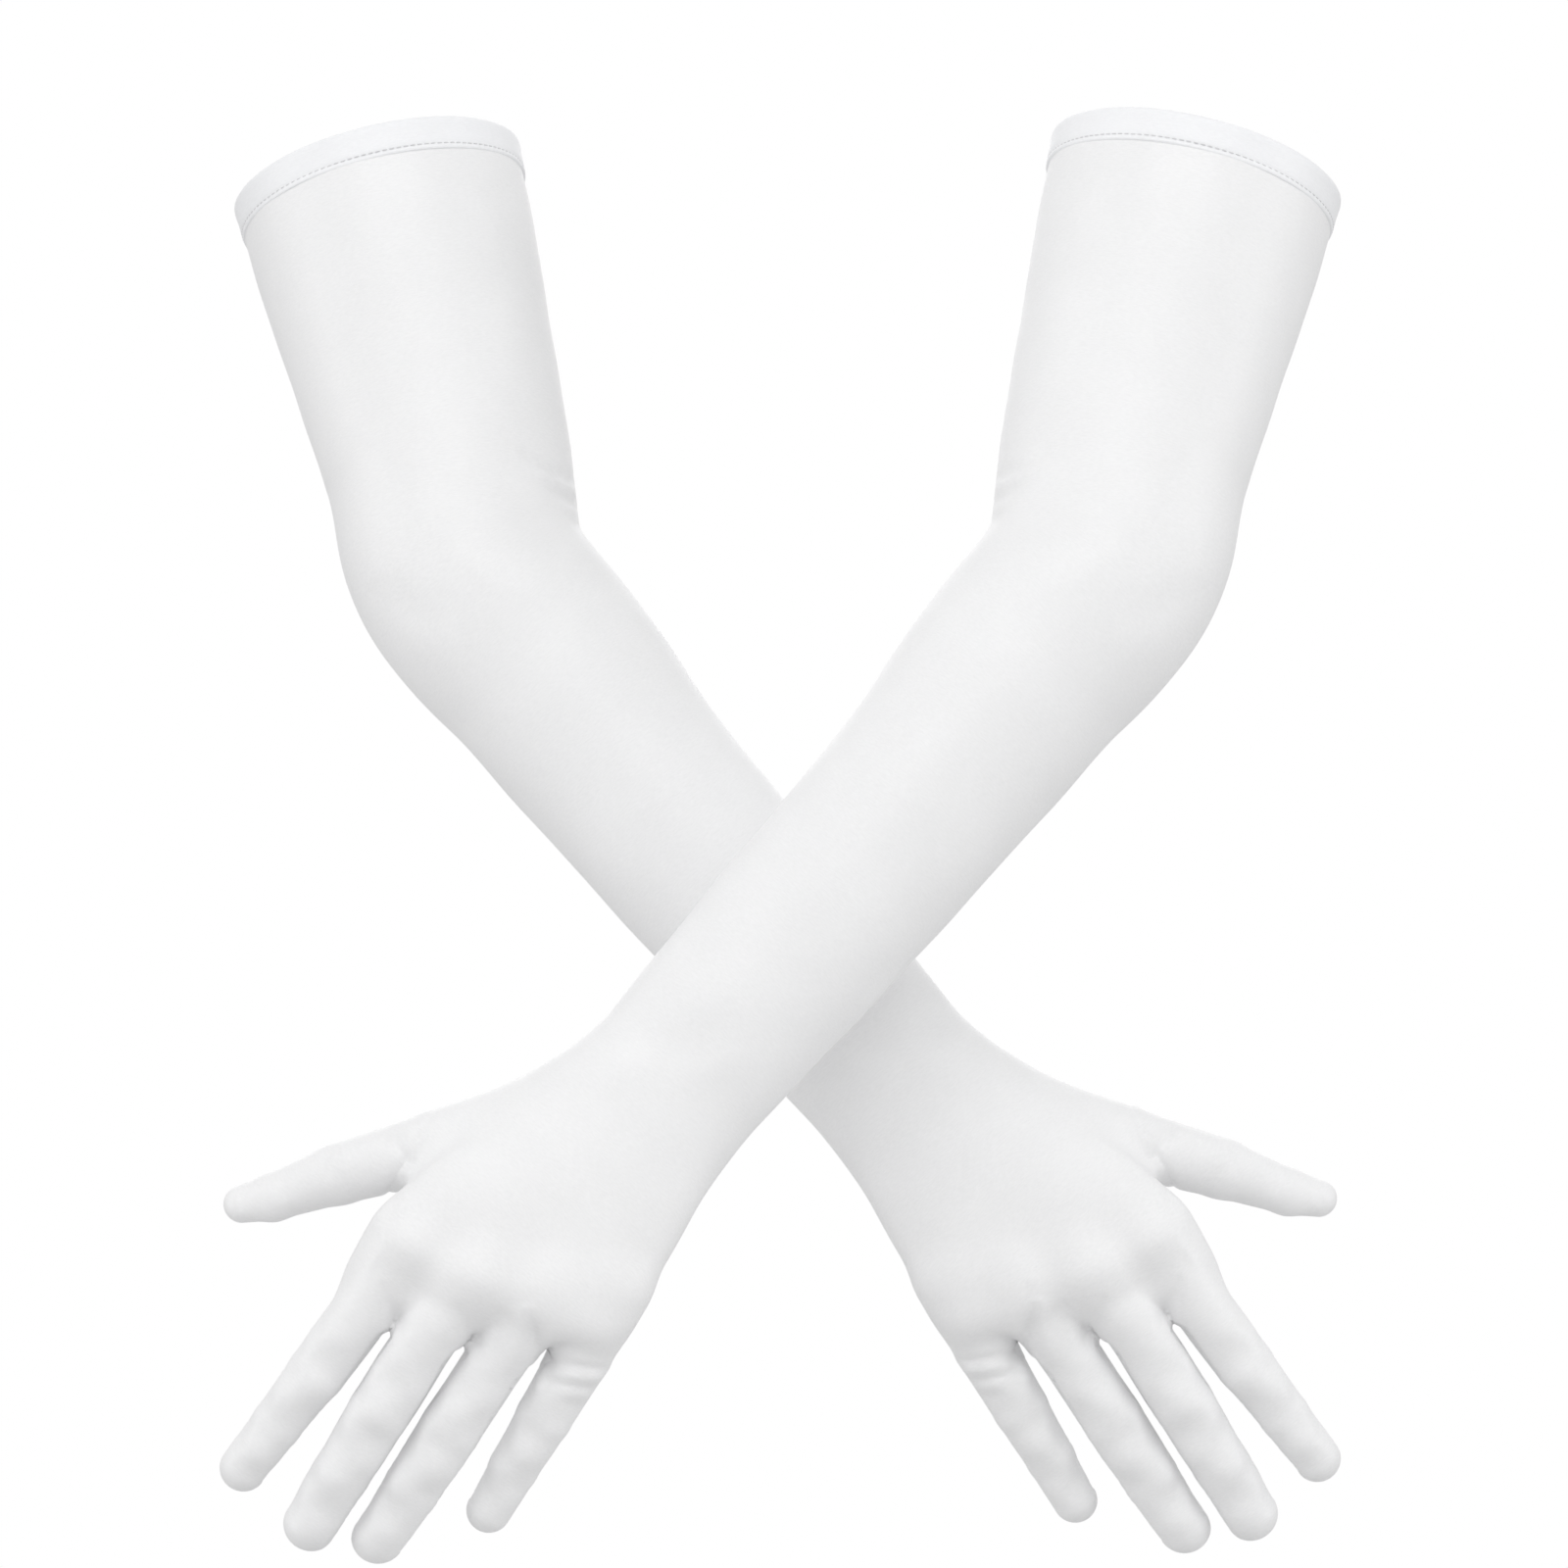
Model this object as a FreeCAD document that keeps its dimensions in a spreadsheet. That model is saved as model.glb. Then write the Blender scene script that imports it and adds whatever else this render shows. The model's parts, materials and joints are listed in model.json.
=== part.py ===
import FreeCAD, Part

# A pair of elbow-length satin opera gloves, worn with the forearms crossed and the hands hanging.
# The right glove is modelled about the centre of its arm opening: +X towards its hand, -Y in front
# of the backs of the hands, +Z up. The left glove is its mirror image, crossing in front of it.
# The main cloth of a glove is one wrapped piece from the hem to the finger tips. It is divided into
# lengths here where the glove folds: at the elbow, at the wrist and at the base of each finger.

import os

import Sketcher
from FreeCAD import Matrix, Placement, Rotation, Vector

OUT = "parts"

# Driving dimensions in millimetres: alias, value, meaning.
DIMENSIONS = [
    ("cloth", 1.0, "wall of the stretched cloth, with its seam allowance"),
    ("hem_wall", 1.8, "doubled cloth of the turned-over hem"),
    ("hem_depth", 10.5, "height of the hem"),
    ("hem_lift", 0.6, "how far the hem stands out from the sleeve"),
    ("thread", 0.3, "radius of the hem's sewing thread"),
    ("stitch_height", 9.2, "from the rim to the stitch line"),
    ("rim_radius", 45.2, "sleeve at the rim"),
    ("hem_end_radius", 44.4, "sleeve at the hem's lower edge"),
    ("sleeve_end_radius", 38.6, "sleeve where the elbow fold starts"),
    ("elbow_radius", 36.6, "sleeve at the elbow"),
    ("forearm_top_width", 34.6, "half width where the elbow fold ends"),
    ("forearm_top_depth", 33.6, "half depth where the elbow fold ends"),
    ("forearm_mid_width", 32.0, "half width half way down the forearm"),
    ("forearm_mid_depth", 28.5, "half depth half way down the forearm"),
    ("forearm_end_width", 29.4, "half width where the wrist fold starts"),
    ("forearm_end_depth", 22.0, "half depth where the wrist fold starts"),
    ("wrist_width", 28.5, "half width at the wrist"),
    ("wrist_depth", 19.8, "half depth at the wrist"),
    ("heel_width", 30.0, "half width where the wrist fold ends"),
    ("heel_depth", 18.4, "half depth where the wrist fold ends"),
    ("palm_width", 37.5, "half width of the palm"),
    ("palm_depth", 15.5, "half depth of the palm"),
    ("knuckle_width", 41.6, "half width at the knuckles"),
    ("knuckle_depth", 14.2, "half depth at the knuckles"),
    ("crotch_width", 40.8, "half width at the finger crotches"),
    ("crotch_depth", 11.8, "half depth at the finger crotches"),
    ("index_base", 9.2, "radius of the index stall at its base"),
    ("index_tip", 7.3, "radius of the index stall at its tip"),
    ("middle_base", 9.9, "radius of the middle stall at its base"),
    ("middle_tip", 8.5, "radius of the middle stall at its tip"),
    ("ring_base", 9.8, "radius of the ring stall at its base"),
    ("ring_tip", 8.3, "radius of the ring stall at its tip"),
    ("little_base", 9.2, "radius of the little stall at its base"),
    ("little_tip", 6.9, "radius of the little stall at its tip"),
    ("thumb_root", 14.0, "radius of the thumb piece inside the hand"),
    ("thumb_base", 10.4, "radius of the thumb stall at its base"),
    ("thumb_tip", 6.2, "radius of the thumb stall at its tip"),
    ("fourchette_width", 9.0, "width of a side strip"),
    ("fourchette_stop", 4.0, "from a side strip's end to the tip's round"),
    ("elbow_reach", 38.0, "half length of the cloth that folds at the elbow"),
    ("wrist_reach", 15.0, "half length of the cloth that folds at the wrist"),
    ("finger_fold", 18.0, "length of the cloth that folds at the base of a finger"),
    ("finger_root", 12.0, "how far a stall's tube starts inside the hand"),
    ("thumb_fold", 13.0, "how far the folding cloth of the thumb reaches past its base"),
    ("pair_plane", 126.9, "distance of the pair's mirror plane from the right opening"),
    ("pair_gap", 72.0, "how far the left glove lies in front of the right glove"),
]

# Centre line of the right glove, in millimetres.
RIM = Vector(0, 0, 0)
ELBOW = Vector(31.5, -44, -125)
FOREARM = Vector(82, -60, -189)
WRIST = Vector(159, -76, -277.5)
PALM = Vector(194.5, -86, -318.5)
KNUCKLES = Vector(213.5, -89, -340)
CROTCH = Vector(223.5, -87, -356.5)
PAST_CROTCH = Vector(233, -84, -372)
# The finger crotches lie in this plane.
CROTCH_NORMAL = Vector(0.216, 0.1, -0.97)

# Finger: name, centre of its base, centre of its rounded tip, and the neighbours whose side it faces.
FINGERS = [
    ("index", Vector(253.5, -87, -347.5), Vector(291, -73, -396.5), {"middle": -1}),
    ("middle", Vector(235, -88, -356), Vector(270.5, -71, -413.5), {"index": 1, "ring": -1}),
    ("ring", Vector(213.5, -87, -362), Vector(250, -70, -417.5), {"middle": 1, "little": -1}),
    ("little", Vector(188.5, -85, -361.5), Vector(216.5, -70, -409.5), {"ring": 1}),
]
THUMB_ROOT = Vector(182, -80, -276)
THUMB_BASE = Vector(231, -77, -299.5)
THUMB_TIP = Vector(292, -70, -317)
FRONT_TO_BACK = Vector(0, 1, 0)

doc = FreeCAD.newDocument("OperaGloves")
sheet = doc.addObject("Spreadsheet::Sheet", "Dims")
for row, (alias, value, meaning) in enumerate(DIMENSIONS, start=1):
    sheet.set(f"A{row}", meaning)
    sheet.set(f"B{row}", str(value))
    sheet.setAlias(f"B{row}", alias)
doc.recompute()
SIZE = {alias: value for alias, value, meaning in DIMENSIONS}
right_pieces = []


def towards(start, end):
    """Unit vector from one point to another."""
    return (end - start).normalize()


def frame_at(point, along):
    """Placement with local Z along a limb and local X across it, towards the thumb side."""
    z = Vector(along).normalize()
    x = z.cross(FRONT_TO_BACK).normalize()
    y = z.cross(x)
    axes = Matrix(x.x, y.x, z.x, 0, x.y, y.y, z.y, 0, x.z, y.z, z.z, 0, 0, 0, 0, 1)
    return Placement(point, Rotation(axes))


def bind(thing, **formulas):
    """Ties properties of an object to cells of the sheet."""
    for prop, formula in formulas.items():
        thing.setExpression(prop, formula)
    return thing


def piece(thing, label):
    """Marks an object as a sub-part of the right glove."""
    thing.Label = "right_" + label
    right_pieces.append(thing)
    return thing


def cut(base, tool, name):
    """What is left of the base outside the tool."""
    result = doc.addObject("Part::Cut", name)
    result.Base = base
    result.Tool = tool
    return result


def common(base, tool, name):
    """What the base and the tool share."""
    result = doc.addObject("Part::Common", name)
    result.Base = base
    result.Tool = tool
    return result


def fuse(shapes, name):
    """One solid from several."""
    result = doc.addObject("Part::MultiFuse", name)
    result.Shapes = shapes
    result.Refine = True
    return result


def limb(name, stations, inset):
    """Solid through ellipses; a station is its centre, its direction, and two cells for its half axes."""
    rings = []
    for number, (point, along, width, depth) in enumerate(stations):
        ring = doc.addObject("Part::Ellipse", f"{name}_ring_{number}")
        bind(ring, MajorRadius=f"Dims.{width} - {inset}", MinorRadius=f"Dims.{depth} - {inset} - 0.01")
        ring.Placement = frame_at(point, along)
        rings.append(ring)
    solid = doc.addObject("Part::Loft", name)
    solid.Sections = rings
    solid.Solid = True
    solid.Ruled = False
    return solid


def hollow_limb(name, stations):
    """Cloth tube through the stations' ellipses, open at both ends."""
    outside = limb(f"{name}_outside", stations, "0")
    inside = limb(f"{name}_inside", stations, "Dims.cloth")
    return cut(outside, inside, name)


def block_past(name, point, normal, size=300.0):
    """Large box that fills the side of a plane which the plane's normal points to."""
    box = doc.addObject("Part::Box", name)
    box.Length = size
    box.Width = size
    box.Height = size
    corner = Placement(Vector(-size / 2, -size / 2, 0), Rotation())
    box.Placement = frame_at(point, normal).multiply(corner)
    return box


def sleeve_point(distance):
    """Point on the sleeve's axis, measured from the rim."""
    return RIM + towards(RIM, ELBOW) * distance


def band_on_sleeve(name, profile):
    """Solid of revolution about the sleeve's axis; the profile's corners are (radius, height) formulas."""
    body = doc.addObject("PartDesign::Body", name)
    outline = body.newObject("Sketcher::SketchObject", f"{name}_profile")
    plane = next(item for item in body.Origin.OriginFeatures if item.Role == "XZ_Plane")
    outline.AttachmentSupport = (plane, "")
    outline.MapMode = "FlatFace"
    count = len(profile)
    for corner in range(count):
        start = Vector(40 + corner, corner, 0)
        end = Vector(40 + (corner + 1) % count, (corner + 1) % count, 0)
        outline.addGeometry(Part.LineSegment(start, end), False)
    for corner, (radius, height) in enumerate(profile):
        outline.addConstraint(Sketcher.Constraint("Coincident", (corner - 1) % count, 2, corner, 1))
        across = outline.addConstraint(Sketcher.Constraint("DistanceX", -1, 1, corner, 1, 40 + corner))
        outline.setExpression(f"Constraints[{across}]", radius)
        up = outline.addConstraint(Sketcher.Constraint("DistanceY", -1, 1, corner, 1, corner + 0.5))
        outline.setExpression(f"Constraints[{up}]", height)
    doc.recompute()
    turn = body.newObject("PartDesign::Revolution", f"{name}_turn")
    turn.Profile = outline
    turn.ReferenceAxis = (outline, ["V_Axis"])
    turn.Angle = 360
    body.Tip = turn
    body.Placement = frame_at(RIM, towards(RIM, ELBOW))
    return body


def stall(name, base, tip, base_cell, tip_cell, inset):
    """Solid finger shape: a cone from the base and a round at the tip's centre."""
    length = (tip - base).Length
    cone = doc.addObject("Part::Cone", f"{name}_cone")
    bind(cone, Radius1=f"Dims.{base_cell} - {inset}", Radius2=f"Dims.{tip_cell} - {inset}")
    cone.Height = length
    cone.Placement = frame_at(base, tip - base)
    ball = doc.addObject("Part::Sphere", f"{name}_ball")
    bind(ball, Radius=f"Dims.{tip_cell} - {inset}")
    ball.Placement = frame_at(tip, tip - base)
    return fuse([cone, ball], name)


def hem_band():
    """Turned-over cloth round the arm opening, a little proud of the sleeve."""
    profile = [
        ("Dims.rim_radius + Dims.hem_lift - Dims.hem_wall", "0"),
        ("Dims.rim_radius + Dims.hem_lift", "0"),
        ("Dims.hem_end_radius + Dims.hem_lift", "Dims.hem_depth"),
        ("Dims.hem_end_radius + Dims.hem_lift - Dims.hem_wall", "Dims.hem_depth"),
    ]
    piece(band_on_sleeve("hem_band", profile), "hem_band")


def hem_stitching():
    """Loop of thread lying on the hem, near its lower edge."""
    loop = doc.addObject("Part::Torus", "hem_stitching")
    bind(loop, Radius1="Dims.hem_end_radius + Dims.hem_lift + Dims.thread + 0.15", Radius2="Dims.thread")
    loop.Placement = frame_at(sleeve_point(SIZE["stitch_height"]), towards(RIM, ELBOW))
    piece(loop, "hem_stitching")


def arm():
    """Sleeve, elbow fold, forearm and wrist fold."""
    upper = towards(RIM, ELBOW)
    first = towards(ELBOW, FOREARM)
    second = towards(FOREARM, WRIST)
    hand = towards(WRIST, PALM)
    elbow_in = ELBOW - upper * SIZE["elbow_reach"]
    elbow_out = ELBOW + first * SIZE["elbow_reach"]
    wrist_in = WRIST - second * SIZE["wrist_reach"]
    wrist_out = WRIST + hand * SIZE["wrist_reach"]
    hem_end = (sleeve_point(SIZE["hem_depth"]), upper, "hem_end_radius", "hem_end_radius")
    sleeve_end = (elbow_in, upper, "sleeve_end_radius", "sleeve_end_radius")
    elbow = (ELBOW, upper + first, "elbow_radius", "elbow_radius")
    forearm_top = (elbow_out, first, "forearm_top_width", "forearm_top_depth")
    forearm_mid = (FOREARM, first + second, "forearm_mid_width", "forearm_mid_depth")
    forearm_end = (wrist_in, second, "forearm_end_width", "forearm_end_depth")
    wrist = (WRIST, second + hand, "wrist_width", "wrist_depth")
    heel = (wrist_out, hand, "heel_width", "heel_depth")
    piece(hollow_limb("sleeve", [hem_end, sleeve_end]), "sleeve")
    piece(hollow_limb("elbow_fold", [sleeve_end, elbow, forearm_top]), "elbow_fold")
    piece(hollow_limb("forearm", [forearm_top, forearm_mid, forearm_end]), "forearm")
    piece(hollow_limb("wrist_fold", [forearm_end, wrist, heel]), "wrist_fold")
    return heel


def hand_solids(heel, root_skins):
    """Outside and inside of the hand, both closed at the finger crotches; the outside takes in the
    roots of the fingers."""
    palm = (PALM, towards(WRIST, KNUCKLES), "palm_width", "palm_depth")
    knuckles = (KNUCKLES, towards(PALM, CROTCH), "knuckle_width", "knuckle_depth")
    past = (PAST_CROTCH, towards(CROTCH, PAST_CROTCH), "crotch_width", "crotch_depth")
    stations = [heel, palm, knuckles, past]
    web_depth = Vector(CROTCH_NORMAL).normalize() * SIZE["cloth"]
    palm_and_roots = fuse([limb("hand_outside_long", stations, "0")] + root_skins, "palm_and_roots")
    outside = cut(
        palm_and_roots,
        block_past("beyond_crotches", CROTCH, CROTCH_NORMAL),
        "hand_outside",
    )
    inside = cut(
        limb("hand_inside_long", stations, "Dims.cloth"),
        block_past("beyond_webs", CROTCH - web_depth, CROTCH_NORMAL),
        "hand_inside",
    )
    return outside, inside


def thumb(hand_outside, heel):
    """Set-in thumb: the folding cloth from the hand to the stall, and the stall."""
    fold_end = THUMB_BASE + towards(THUMB_BASE, THUMB_TIP) * SIZE["thumb_fold"]
    bend = towards(THUMB_ROOT, THUMB_BASE) + towards(THUMB_BASE, THUMB_TIP)
    root = (THUMB_ROOT, towards(THUMB_ROOT, THUMB_BASE), "thumb_root", "thumb_root")
    base = (THUMB_BASE, bend, "thumb_base", "thumb_base")
    end = (fold_end, towards(THUMB_BASE, THUMB_TIP), "thumb_base", "thumb_base")
    outside = limb("thumb_fold_outside", [root, base, end], "0")
    inside = limb("thumb_fold_inside", [root, base, end], "Dims.cloth")
    wall = cut(outside, inside, "thumb_fold_wall")
    beside_hand = cut(wall, hand_outside, "thumb_fold_beside_hand")
    wrist_side = block_past("thumb_side_of_wrist", heel[0], heel[1] * -1)
    piece(cut(beside_hand, wrist_side, "thumb_fold"), "thumb_fold")
    ends = (fold_end, THUMB_TIP, "thumb_base", "thumb_tip")
    skin = stall("thumb_outside", *ends, "0")
    space = stall("thumb_inside", *ends, "Dims.cloth")
    piece(cut(skin, space, "thumb"), "thumb")
    return inside


def side_strip_block(finger, other, side, start, tip):
    """Box that takes in one side of a stall, as wide as a side strip."""
    box = doc.addObject("Part::Box", f"{finger}_block_to_{other}")
    bind(box, Length="2 * Dims.middle_base", Width="Dims.fourchette_width")
    box.Height = (tip - start).Length - SIZE["fourchette_stop"]
    near_edge = 0 if side > 0 else -2 * SIZE["middle_base"]
    corner = Placement(Vector(near_edge, -SIZE["fourchette_width"] / 2, 0), Rotation())
    box.Placement = frame_at(start, tip - start).multiply(corner)
    return box


def finger(name, base, tip, neighbours):
    """Folding cloth, stall and side strips of one finger; returns the skin and hollow of its root."""
    along = towards(base, tip)
    fold_end = base + along * SIZE["finger_fold"]
    base_cell = f"{name}_base"
    tube_start = base - along * SIZE["finger_root"]
    straight = [(tube_start, along, base_cell, base_cell), (fold_end, along, base_cell, base_cell)]
    outside = limb(f"{name}_fold_outside", straight, "0")
    inside = limb(f"{name}_fold_inside", straight, "Dims.cloth")
    wall = cut(outside, inside, f"{name}_fold_wall")
    in_hand = block_past(f"{name}_side_of_hand", CROTCH, CROTCH_NORMAL * -1)
    piece(cut(wall, in_hand, f"{name}_fold"), f"{name}_fold")
    ends = (fold_end, tip, base_cell, f"{name}_tip")
    skin = stall(f"{name}_outside", *ends, "0")
    space = stall(f"{name}_inside", *ends, "Dims.cloth")
    shell = cut(skin, space, f"{name}_shell")
    for other, side in neighbours.items():
        block = side_strip_block(name, other, side, fold_end, tip)
        piece(common(shell, block, f"{name}_strip_{other}"), f"{name}_fourchette_to_{other}")
        shell = cut(shell, block, f"{name}_less_{other}")
    piece(shell, f"{name}_finger")
    return outside, inside


def glove():
    """All the pieces of the right glove."""
    hem_band()
    hem_stitching()
    heel = arm()
    roots = [finger(*details) for details in FINGERS]
    outside, inside = hand_solids(heel, [skin for skin, hollow in roots])
    hollows = [inside, thumb(outside, heel)] + [hollow for skin, hollow in roots]
    piece(cut(outside, fuse(hollows, "hand_hollow"), "hand"), "hand")


def left_piece(source):
    """Mirror image of a piece of the right glove, in its place on the left glove."""
    twin = doc.addObject("Part::Mirroring", source.Name + "_left")
    twin.Source = source
    twin.Base = Vector(SIZE["pair_plane"], 0, 0)
    twin.Normal = Vector(1, 0, 0)
    twin.Placement = Placement(Vector(0, -SIZE["pair_gap"], 0), Rotation())
    twin.Label = source.Label.replace("right_", "left_", 1)
    return twin


def check_and_write(pieces):
    """Stops on a failed object or a bad solid, then writes one STEP file for each piece."""
    for thing in doc.Objects:
        if "Invalid" in thing.State or "Error" in thing.State:
            raise SystemExit(f"{thing.Name} failed: {thing.State}")
    for thing in pieces:
        if thing.Shape.isNull() or not thing.Shape.isValid():
            raise SystemExit(f"{thing.Label} has a bad shape")
    os.makedirs(OUT, exist_ok=True)
    for thing in pieces:
        thing.Shape.exportStep(os.path.join(OUT, thing.Label + ".step"))
        print(f"{thing.Label}: {len(thing.Shape.Solids)} solid, {thing.Shape.Volume:.0f} mm3")


glove()
left_pieces = [left_piece(thing) for thing in right_pieces]
doc.recompute()
check_and_write(right_pieces + left_pieces)
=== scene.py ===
"""The visual model of a pair of white satin opera gloves, worn with the forearms crossed.

One glove is made as a smooth skin round the shape of an arm and hand. The skin is cut along its
seams into the real pieces of cloth, creased, and given the cloth's thickness. The other glove is its
mirror image. Lengths are in millimetres until a mesh is made.
"""

import json

import bmesh
import bpy
import numpy as np
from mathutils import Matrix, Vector


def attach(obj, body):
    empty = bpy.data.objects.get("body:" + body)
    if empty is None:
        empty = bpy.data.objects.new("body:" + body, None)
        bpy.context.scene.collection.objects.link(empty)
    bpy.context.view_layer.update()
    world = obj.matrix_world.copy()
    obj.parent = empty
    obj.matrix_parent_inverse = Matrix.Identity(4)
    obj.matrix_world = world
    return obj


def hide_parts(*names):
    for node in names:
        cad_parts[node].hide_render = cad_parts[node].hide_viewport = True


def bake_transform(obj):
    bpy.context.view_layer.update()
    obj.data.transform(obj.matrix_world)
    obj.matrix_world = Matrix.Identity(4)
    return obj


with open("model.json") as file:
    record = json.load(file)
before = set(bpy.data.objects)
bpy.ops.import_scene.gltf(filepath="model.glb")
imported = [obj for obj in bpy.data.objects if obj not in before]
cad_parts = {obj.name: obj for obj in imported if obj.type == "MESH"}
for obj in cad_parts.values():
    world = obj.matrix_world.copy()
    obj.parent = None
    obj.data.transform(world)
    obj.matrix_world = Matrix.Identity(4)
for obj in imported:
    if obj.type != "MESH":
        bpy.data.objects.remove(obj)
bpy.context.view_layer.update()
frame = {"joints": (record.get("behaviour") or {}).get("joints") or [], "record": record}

MM = 0.001
JOINTS = {joint["name"]: joint for joint in frame["joints"]}
MOUNTS = {mount["name"]: mount for mount in frame["record"]["mounts"]}


def point(*values):
    return np.array(values, float)


def unit(vector):
    return vector / np.linalg.norm(vector)


def hinge(name):
    """Place of a joint of the CAD model, in millimetres."""
    return point(*JOINTS[name]["pos_m"]) / MM


# ---- sizes, in millimetres ----

# grid steps of the sleeve's and the hand's skins
ARM_VOXEL = 1.7
HAND_VOXEL = 1.1

# the satin's thickness, and the gap between two fingers side by side
CLOTH = 0.5
FINGER_GAP = 1.7

# the hem: arm radius at the rim and 45 mm below it, and the radius that its cloth is measured at
RIM_RADIUS = 45.3
SLEEVE_RADIUS = 42.7
SLEEVE_RADIUS_AT = 45
HEM_RADIUS = 45
HEM_DEPTH = 10.5
STITCH_LINE = 8.9
STITCH_COUNT = 126
THREAD_RADIUS = 0.2

# where a finger's own cloth starts past its base, and half the width of a fourchette there
FINGER_CUT = 4.5
FOURCHETTE_HALF = 4.4

# lengths over which neighbouring shapes round into each other
FINGER_JOINT_BLEND = 1.0
THUMB_JOINT_BLEND = 2.0
FINGER_SIDE_BLEND = 3.0
THUMB_ROOT_BLEND = 6.0
FINGER_ROOT_BLEND = 8.0
PAD_BLEND = 9.0
PALM_END_BLEND = 10.0

FRONT = point(0, -1, 0)

RIM = point(*MOUNTS["right_arm_opening"]["pos_m"]) / MM
ELBOW = hinge("right_elbow")
WRIST = hinge("right_wrist")
THUMB_HINGE = hinge("right_thumb_curl")
LEFT_RIM = point(*MOUNTS["left_arm_opening"]["pos_m"]) / MM

UPPER_ARM = unit(ELBOW - RIM)
FOREARM = WRIST + point(-77, 16, 88.5)
PALM = WRIST + point(35.5, -11.5, -41)
KNUCKLES = WRIST + point(54.5, -15.5, -62.5)
CROTCH = WRIST + point(64.5, -11, -79)
CROTCH_NORMAL = unit(point(0.216, 0.1, -0.97))
FOREARM_CUT = FOREARM + (WRIST - FOREARM) * 0.35
THUMB_SEAM = WRIST + point(82, 0, -25)
THUMB_SEAM_NORMAL = unit(point(0.88, 0.05, 0.474))

# Stations of the arm, from the hem to the finger roots: centre, half width, half depth, and the
# squareness of the section.
STATIONS = [
    (RIM - UPPER_ARM * 24, 46.8, 46.8, 2.0),
    (RIM, RIM_RADIUS, RIM_RADIUS, 2.0),
    (RIM + UPPER_ARM * 45, 42.6, 42.4, 2.0),
    (RIM + (ELBOW - RIM) * 0.72, 38.7, 38.7, 2.0),
    (ELBOW + point(-1.5, 0, 1), 36.6, 36.4, 2.0),
    (ELBOW + (FOREARM - ELBOW) * 0.45, 34.9, 34.2, 2.0),
    (FOREARM, 32.2, 28.8, 2.05),
    (FOREARM + (WRIST - FOREARM) * 0.5, 30.6, 25.2, 2.1),
    (WRIST - (WRIST - FOREARM) * 0.12, 28.9, 21.4, 2.15),
    (WRIST, 28.3, 19.8, 2.2),
    (WRIST + (PALM - WRIST) * 0.4, 30.0, 18.0, 2.3),
    (PALM, 36.0, 15.6, 2.5),
    (KNUCKLES, 40.6, 13.2, 2.7),
    (CROTCH + point(0, 1.5, 0), 40.4, 10.0, 2.7),
    (CROTCH + (CROTCH - KNUCKLES) + point(0, 4, 0), 39.0, 6.5, 2.6),
]

# Each finger: knuckle, base at the crotch, tip's centre, radii from the knuckle to the tip, and the
# sides that have a fourchette (1 towards the thumb, -1 towards the little finger).
FINGERS = {
    "index": (WRIST + point(81.5, -17.5, -50), WRIST + point(94.5, -11.5, -70),
              WRIST + point(132, 3, -119), (11.6, 9.8, 8.9, 8.0, 7.2), (-1,)),
    "middle": (WRIST + point(60.5, -20, -60), WRIST + point(76, -13, -78.5),
               WRIST + point(111.5, 4.5, -136), (12.0, 10.4, 10.0, 9.4, 8.4), (1, -1)),
    "ring": (WRIST + point(40.5, -18.5, -65), WRIST + point(54.5, -11.5, -84.5),
             WRIST + point(91, 5.5, -140), (11.6, 10.0, 9.7, 9.1, 8.2), (1, -1)),
    "little": (WRIST + point(20.5, -14, -64), WRIST + point(29.5, -9, -84),
               WRIST + point(57.5, 6, -132), (10.8, 9.6, 8.6, 7.7, 6.8), (1,)),
}
NAMES = list(FINGERS)
THUMB = [
    (WRIST + point(17, -5, 1), 13.5),
    (WRIST + point(46, -3, -14.5), 13.0),
    (THUMB_HINGE + point(0, 0, 1), 10.8),
    (THUMB_HINGE + point(31, 4, -8), 9.0),
    (THUMB_HINGE + point(51, 7, -15), 7.1),
    (THUMB_HINGE + point(60.5, 8, -17), 5.8),
]
PALM_PADS = [
    (WRIST + point(28, 1, -16), 13.5, THUMB_HINGE + point(-4, -3, -14), 11.0),
    (WRIST + point(12, -2, -22), 12.5, WRIST + point(30, -4, -58), 12.0),
]


# ---- the shape of the arm and hand, as a distance field ----


def smooth_union(a, b, blend):
    """Smaller of two fields, rounded over a length where they meet."""
    overlap = np.maximum(blend - np.abs(a - b), 0.0)
    return np.minimum(a, b) - overlap * overlap / (4.0 * blend)


def smooth_both(a, b, blend):
    """Larger of two fields, rounded over a length where they meet."""
    return -smooth_union(-a, -b, blend)


def spline(stations, step=1.0):
    """Smooth curve through the stations' values, by distance along the centres."""
    values = np.array([[*centre, *sizes] for centre, *sizes in stations])
    gaps = np.linalg.norm(np.diff(values[:, :3], axis=0), axis=1)
    knots = np.concatenate([[0.0], np.cumsum(gaps)])
    slopes = np.gradient(values, knots, axis=0)
    at = np.arange(0.0, knots[-1], step)
    span = np.clip(np.searchsorted(knots, at, side="right") - 1, 0, len(knots) - 2)
    width = (knots[span + 1] - knots[span])[:, None]
    k = ((at - knots[span])[:, None]) / width
    first = (2 * k**3 - 3 * k**2 + 1) * values[span] + (k**3 - 2 * k**2 + k) * width * slopes[span]
    second = (3 * k**2 - 2 * k**3) * values[span + 1] + (k**3 - k**2) * width * slopes[span + 1]
    return at, first + second


LIMB_AT, LIMB = spline(STATIONS)
LIMB_TANGENT = np.gradient(LIMB[:, :3], LIMB_AT, axis=0)
LIMB_TANGENT /= np.linalg.norm(LIMB_TANGENT, axis=1)[:, None]


def limb_at(t, table):
    """Rows of a table along the limb, at distances t."""
    return np.stack([np.interp(t, LIMB_AT, table[:, c]) for c in range(table.shape[1])], axis=-1)


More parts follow.
